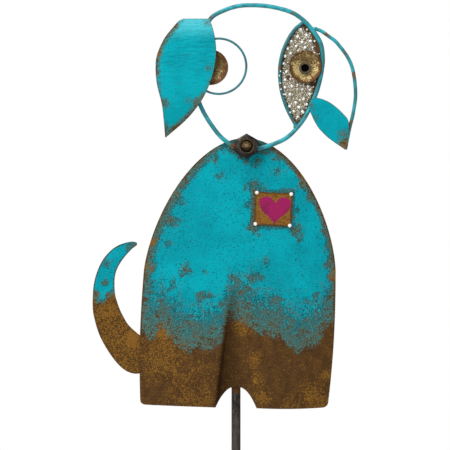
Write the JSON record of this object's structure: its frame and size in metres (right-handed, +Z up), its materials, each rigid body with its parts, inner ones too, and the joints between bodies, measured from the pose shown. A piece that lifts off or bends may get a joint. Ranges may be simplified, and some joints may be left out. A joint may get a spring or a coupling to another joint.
{
  "type": "scrap metal dog garden stake",
  "caption": "Flat dog figure welded from painted sheet steel and bent wire, with a hex nut nose, standing on a round steel stake rod.",
  "frame": {"origin": "middle of the stake rod's lower end, where it meets the ground", "axes": "+Z up along the stake, the figure's front faces -Y, +X to the viewer's right"},
  "size_m": [0.2918, 0.026, 0.7066],
  "materials": {
    "turquoise_paint": "matte turquoise paint worn through to brown rust at the edges and over the lower third",
    "wire_paint": "satin turquoise paint on round wire, with small rust marks",
    "rusty_steel": "matte ochre-brown rust",
    "dark_steel": "dark oxidised steel",
    "aged_brass": "dull aged brass with a dark brown rim",
    "white_studs": "glossy white",
    "glass_beads": "glossy clear and white glass"
  },
  "bodies": {
    "root": {"body_plate": "turquoise_paint", "tail": "turquoise_paint", "ear_left": "turquoise_paint", "ear_leaf_right": "turquoise_paint", "head_ring": "wire_paint", "eye_ring_left": "wire_paint", "eye_frame_right": "wire_paint", "ear_wire_right": "wire_paint", "eye_panel_right": "rusty_steel", "heart_patch": "rusty_steel", "stake_rod": "dark_steel", "nose_nut": "dark_steel", "eye_pupil_left": "dark_steel", "eye_pupil_right": "dark_steel", "nose_bolt": "aged_brass", "eye_cup_left": "aged_brass", "eye_cup_right": "aged_brass", "patch_stud_1": "white_studs", "patch_stud_2": "white_studs", "patch_stud_3": "white_studs", "patch_stud_4": "white_studs"}
  },
  "joints": []
}
